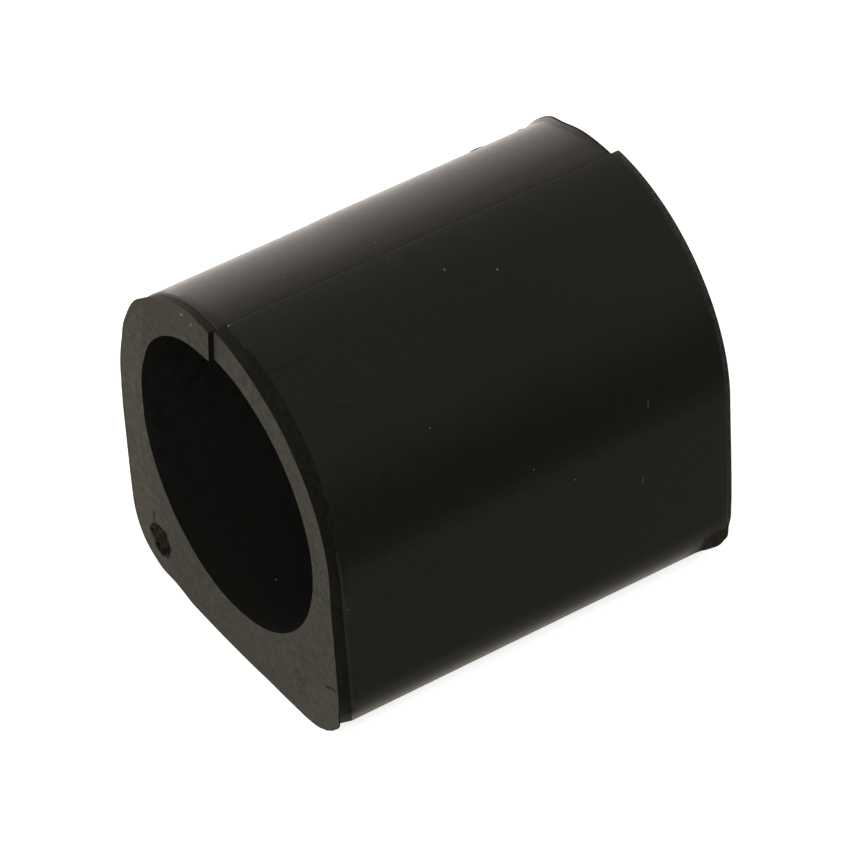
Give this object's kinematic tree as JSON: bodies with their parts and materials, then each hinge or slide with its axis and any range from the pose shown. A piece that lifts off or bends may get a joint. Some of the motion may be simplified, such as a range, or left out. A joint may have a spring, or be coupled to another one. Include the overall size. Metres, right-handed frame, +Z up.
{
  "type": "sway bar bushing",
  "caption": "Split D-shaped rubber bushing with a flat base and a through bore that grips a stabiliser bar inside its saddle clamp.",
  "frame": {"origin": "on the bore axis at mid length", "axes": "+Y along the bore toward the back end, +Z up from the flat base through the slit crown, +X to the right of the slit seen from the front end"},
  "size_m": [0.0664, 0.0814, 0.0718],
  "materials": {
    "rubber": "satin black rubber, smooth moulded skin and matt cut ends"
  },
  "bodies": {
    "root": {"bushing": "rubber"}
  },
  "joints": []
}
